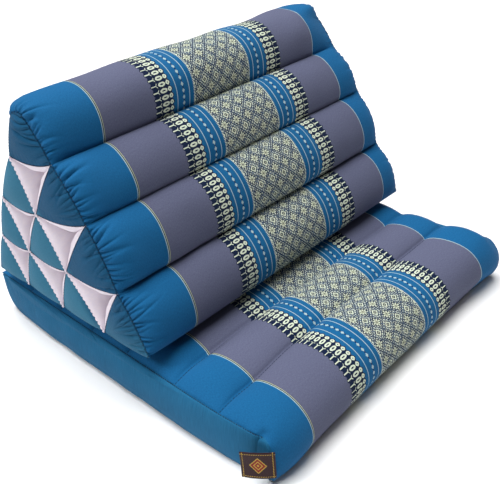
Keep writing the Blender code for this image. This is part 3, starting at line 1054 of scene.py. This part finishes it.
def atRight(key, x):
    # one of the right end's changes: a smooth step along the mat
    size, start, length = matValues[key]
    return size * smooth((x - start) / length)


def settled(points):
    # draws the right end out and lets it sit lower, then moves the corners; heights change in proportion
    moved = points.copy()
    moved[..., 0] += atRight("rightReach", points[..., 0])
    moved[..., 2] *= 1 - atRight("rightFall", points[..., 0])
    height = points[..., 2] / matValues["endSeam"]
    for corner, spread, (across, along, up), onlyBelly in settling:
        bell = np.exp(-((points[..., :2] - corner) ** 2).sum(axis=-1) / (2 * spread**2)) * mm
        if onlyBelly:
            bell = bell * np.sin(math.pi * np.clip(height, 0, 1))
        moved += np.stack([across * bell, along * bell, up * bell * height], -1)
    return moved


def matSkin(draw):
    v = matValues
    seam, full = matOutlines()
    places = stationPlaces(v["width"], 24, 52)
    x = places - v["width"] / 2
    inset = np.minimum(places, v["width"] - places)
    share = (np.sin(math.pi / 2 * np.clip(inset / v["shoulder"], 0, 1)) ** v["shoulderPower"])[:, None]
    growth = (full - seam)[None] * share[..., None]
    inFront = seam[:, 0] < groovePlaces()[-2]
    high = smooth(full[inFront, 1] / (35 * mm))[None, :]
    low, up = (np.interp(x, v["swayPlaces"], v[key])[:, None] for key in ("swayLow", "swayHigh"))
    growth[:, inFront, 0] *= low + (up - low) * high
    grid = alongRolls(x, seam[None] + growth)
    normal = outerNormals(grid)
    girth = arcLength(np.concatenate([full, full[:1]]))
    topCount = 2 * v["sideSteps"] + 7 * v["channelSteps"]
    shown = np.arange(len(seam)) < topCount
    cloth = arcFrom(inset, v["shoulder"])
    rise = np.zeros(grid.shape[:2])
    for side in (x < 0, x >= 0):
        rise[side] += gathers(girth[None, :-1], cloth[side][:, None], girth[topCount], v["gathers"], draw)
    rise += v["lump"] * lumps(x[:, None], girth[None, :-1], v["lumpSize"], draw) * share
    grooves = v["sideSteps"] + v["channelSteps"] * np.arange(1, 7)
    depth, width, loss = v["pinch"]
    for column in grooves:
        nearby = np.abs(girth[:-1] - girth[column])[None, :]
        rise -= depth * np.exp(-(nearby / width) ** 1.3) * (1 - share**2 * loss)
    rise *= shown * np.clip(grid[..., 2] / (15 * mm), 0, 1)
    grid = grid + normal * rise[..., None]
    # under the backrest the mat stays just below its base
    ceiling = np.where(grid[..., 1] > -0.10, backrestValues["baseRest"] - 0.3 * mm, np.inf)
    grid[..., 2] = np.clip(grid[..., 2], 0.0, ceiling)
    grid = settled(grid)
    onFront = smooth((girth - girth[grooves[-1]]) / (girth[topCount] - girth[grooves[-1]]))
    flare = atRight("rightFlare", x)[:, None] * onFront[None, :]
    maps = np.stack(np.broadcast_arrays(x[:, None] - flare, girth[None, :]), -1)
    faces, corners = gridFaces(len(x), len(seam), True), gridMaps(maps)
    under = np.tile(~shown, len(x) - 1)
    points = grid.reshape(-1, 3)
    parts = [(points, faces[~under], corners[~under], 0)]
    parts.append((np.zeros((0, 3)), faces[under] - len(points), corners[under], 1))
    for row, side in ((0, -1), (-1, 1)):
        middle = grid[row].mean(axis=0)
        rings = []
        for portion in (1.0, 0.9, 0.6, 0.3):  # the end under the gusset, as a low dome
            ring = middle + (grid[row] - middle) * portion
            ring[:, 0] += side * 7 * mm * (1 - portion**6)
            rings.append(ring)
        parts += capOf(np.array(rings), 1)
    return parts, [grid[1:-1, column] + np.array([0, 0, 0.3 * mm]) for column in grooves]


def buildMat(finishes):
    parts, grooves = matSkin(np.random.default_rng(41))
    piece = makePiece("matCushion", parts, finishes)
    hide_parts("mat")
    print("mat:", len(piece.data.polygons), "faces")
    return grooves


gussetValues = {
    "bulge": (9 * mm, 19 * mm),  # at the left end and at the right one
    "swellPower": 4,
    "trim": 0.016,
    "gap": 0.8 * mm,
    "thickness": 1.0 * mm,
    "columns": 220,
    "rows": 26,
    "lump": 0.5 * mm,
    "lumpSize": 0.05,
    "puckers": (8, (6, 20), (0.3, 1.2), (1.3, 2.6), 0.15, 0.01),
}


def gussetSurface(side, draw):
    # a strip ruled between the end's two upright edges: the bulge is a half sine up it, flat towards its tips
    v = gussetValues
    u = v["trim"] / 4 + (1 - v["trim"] / 2) * np.linspace(0, 1, v["columns"])
    up = v["trim"] + (1 - 2 * v["trim"]) * np.linspace(0, 1, v["rows"])
    share = u[None, :, None]
    grid = (1 - share) * endSide(1, up)[:, None] + share * endSide(-1, up)[:, None]
    swell = np.sin(math.pi * up)[:, None] * (1 - (2 * u - 1) ** v["swellPower"])[None, :]
    along = u[None, :] * matDepth
    rise = gathers(along, (1 - up)[:, None] * matValues["endSeam"], matDepth, v["puckers"], draw)
    rise = rise + v["lump"] * lumps(along, up[:, None] * 0.02, v["lumpSize"], draw) * swell
    x = side * (matValues["width"] / 2 + v["gap"] + v["bulge"][side > 0] * swell + rise)
    return settled(np.concatenate([x[..., None], grid], axis=2))


def buildGussets(finish):
    draw = np.random.default_rng(53)
    for side, word in ((-1, "left"), (1, "right")):
        grid = gussetSurface(side, draw)
        rows, columns = grid.shape[:2]
        points, faces = grid.reshape(-1, 3), gridFaces(rows, columns)
        name, thickness = f"gussetCloth_{word}", gussetValues["thickness"]
        piece, area = stretchedCloth(name, points, faces, finish, thickness, side)
        wide = float(np.ptp(points[:, 1]))
        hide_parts(f"gusset_{word}")
    print("gussets: 2")


# in mm: pitch, half a stitch's length, thread radius
matRows = {"seam": (3.2, 0.9, 0.42), "groove": (4.2, 1.5, 0.30)}


def buildMatStitches(finish, grooves):
    # running stitches on the end seams, and the quilting thread along each groove
    draw = np.random.default_rng(61)
    parts = []
    pitch, half, radius = (size * mm for size in matRows["seam"])
    for side in (-1, 1):
        out, up = np.array([side, 0, 0]), np.array([0, 0, 1])
        path = np.empty((200, 3))
        path[:, 0] = side * (matValues["width"] / 2 + 0.7 * mm)
        path[:, 1] = np.linspace(endSide(1, 1.0)[0, 0], endSide(-1, 1.0)[0, 0], 200)
        path[:, 2] = matValues["endSeam"] + 0.1 * mm
        spots, direction = rowAlong(settled(path), pitch, draw, 0.15)
        first = spots - direction * half + up * 0.3 * mm
        last = spots + direction * half + out * 0.5 * mm - up * 0.3 * mm
        parts += stitchParts(first, last, (out + up) * 0.4 * mm, radius)
    pitch, half, radius = (size * mm for size in matRows["groove"])
    for path in grooves:
        spots, direction = rowAlong(path, pitch, draw, 0.08)
        lift = np.array([0, 0, 0.25 * mm])
        parts += stitchParts(spots - direction * half, spots + direction * half, lift, radius)
    piece = makePiece("matStitches", parts, [finish], weld=False)


# The label

labelShape = {
    "bottom": 14.5 * mm,
    "height": 38 * mm,
    "thickness": 0.8 * mm,
    # mm from the corner seam, seen from above
    "plan": ((-0.6, -2.4), (-9.0, 4.0), (-17.0, 16.0), (-23.0, 27.0)),
    "wave": 0.7 * mm,
    "samples": (30, 34),  # up and along
}


def buildLabel(finish):
    # a tag that leaves the corner seam on a cubic and curls back along the end, with a slight wave upwards
    v = labelShape
    corner = settled(np.array([-matValues["width"] / 2, -matDepth / 2, 0.0]))[:2]
    up, t = (np.linspace(0, 1, count) for count in v["samples"])
    plan = bezier(corner + np.array(v["plan"]) * mm, t)
    length = arcLength(plan)
    labelValues["size"] = (float(length[-1]), v["height"])
    bend = np.sin(2 * math.pi * (up[:, None] * 0.8 + t[None, :] * 0.5)) * t[None, :]
    ahead = unit(np.gradient(plan, axis=0))
    side = np.stack([-ahead[:, 1], ahead[:, 0]], -1)
    flat = plan[None] + side[None] * (v["wave"] * bend)[..., None]
    z = np.broadcast_to((v["bottom"] + v["height"] * up)[:, None], flat.shape[:2])
    grid = np.concatenate([flat, z[..., None]], axis=2)
    maps = np.stack(np.broadcast_arrays(length[None, :], (up * v["height"])[:, None]), -1)
    faces = gridFaces(*v["samples"])
    piece = makePiece("labelTag", [(grid.reshape(-1, 3), faces, gridMaps(maps), 0)], [finish()])
    thicken(piece, v["thickness"], 0.0)
    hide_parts("label")
    print("label: 1")


# Floor, light and camera

studioValues = {
    "floor": screen(233, 233, 233),  # shows as white under these lights
    "world": 0.14,
    # soft suns: strength, degrees across, and the direction each shines from
    "suns": {
        "overhead": (3.5, 38, (0.0, 0.05, 1.0)),
        "side": (1.3, 14, (-0.65, 0.5, 0.8)),
    },
    "softbox": (3.4, 0.6, (0.0, 0.22, 1.15)),  # watts, metres across, and its place, facing down
}


def turnedTo(right, up, back, place):
    # a matrix from three unit vectors and a place
    return Matrix([*np.column_stack([right, up, back, place]), (0, 0, 0, 1)])


def buildStudio():
    v = studioValues
    bench = Bench("floorFinish", 0.9)
    place = bench.node("ShaderNodeTexCoord", output=3)
    speck = bench.node("ShaderNodeTexNoise", None, {"Vector": place, "Scale": 6.0})
    bench.close(bench.mix(speck, v["floor"], screen(249, 249, 249)), speck, 0.01 * mm)
    x, y = np.meshgrid(np.linspace(-4, 4, 9), np.linspace(-4, 4, 9))
    points = np.stack([x, y, np.full(x.shape, -0.4 * mm)], -1).reshape(-1, 3)
    mesh = bpy.data.meshes.new("floor")
    mesh.from_pydata(points.tolist(), [], gridFaces(9, 9).tolist())
    mesh.materials.append(bench.material)
    floor = inScene("floor", mesh)
    world = bpy.data.worlds.new("studio")
    bpy.context.scene.world = world
    world.use_nodes = True
    background = world.node_tree.nodes["Background"]
    background.inputs["Color"].default_value = (1, 1, 1, 1)
    background.inputs["Strength"].default_value = v["world"]
    strength, width, place = v["softbox"]
    lamp = bpy.data.lights.new("softbox", "AREA")
    lamp.energy, lamp.size = strength, width
    inScene("softbox", lamp).location = place
    for name, (strength, width, source) in v["suns"].items():
        lamp = bpy.data.lights.new(name, "SUN")
        lamp.energy, lamp.angle = strength, math.radians(width)
        back = unit(np.array(source))
        right = unit(np.cross([0.0, 1.0, 0.0], back))
        inScene(name, lamp).matrix_world = turnedTo(right, np.cross(back, right), back, (0, 0, 2))


cameraValues = {
    "focalPixels": 718.215,  # of a picture 500 pixels wide
    "yaw": 0.7745066,
    "pitch": 0.5472440,
    "roll": -0.0814358,
    "place": (-0.6048368, -0.6299731, 0.6194665),
}


def buildCamera():
    v = cameraValues
    yaw, pitch, roll = v["yaw"], v["pitch"], v["roll"]
    ahead = np.array([math.sin(yaw) * math.cos(pitch), math.cos(yaw) * math.cos(pitch), -math.sin(pitch)])
    level = np.array([math.cos(yaw), -math.sin(yaw), 0])
    over = np.cross(level, ahead)
    right = math.cos(roll) * level + math.sin(roll) * over
    up = -math.sin(roll) * level + math.cos(roll) * over
    lens = bpy.data.cameras.new("camera")
    lens.sensor_width = 36
    lens.lens = v["focalPixels"] * 36 / 500
    camera = inScene("camera", lens)
    camera.matrix_world = turnedTo(right, up, -ahead, v["place"])
    bpy.context.scene.camera = camera
    bpy.context.scene.view_settings.view_transform = "Standard"


buildCamera()
woven = wovenCloth()
# the patches' cloth: painted shade by the front seams, painted light at the back and low down
frontPaintedShade = dyed(30, 110, 156), dyed(18, 82, 124)
backPaintedLight = dyed(82, 154, 188), dyed(58, 130, 164)
patchCloth = plainCloth("patchCloth", *frontPaintedShade, (240, 900), paintedLitShades=backPaintedLight)
gussetCloth = plainCloth("gussetCloth", dyed(50, 142, 188), dyed(18, 90, 142), (1400, 50))
liningShades = dyed(246, 234, 238, 0.92), dyed(230, 222, 238, 0.92)
liningCloth = plainCloth("liningCloth", *liningShades, (300, 300), 0.9, 0.1)
darkThread = threadFinish("darkThread", dyed(26, 56, 96))
print("finishes made")
buildBackrest([woven, patchCloth, liningCloth])
buildPatches(patchCloth)
buildOvercast(darkThread, liningCloth)
quiltLines = buildMat([woven, gussetCloth])
buildGussets(gussetCloth)
buildMatStitches(darkThread, quiltLines)
buildLabel(labelWeave)
buildStudio()
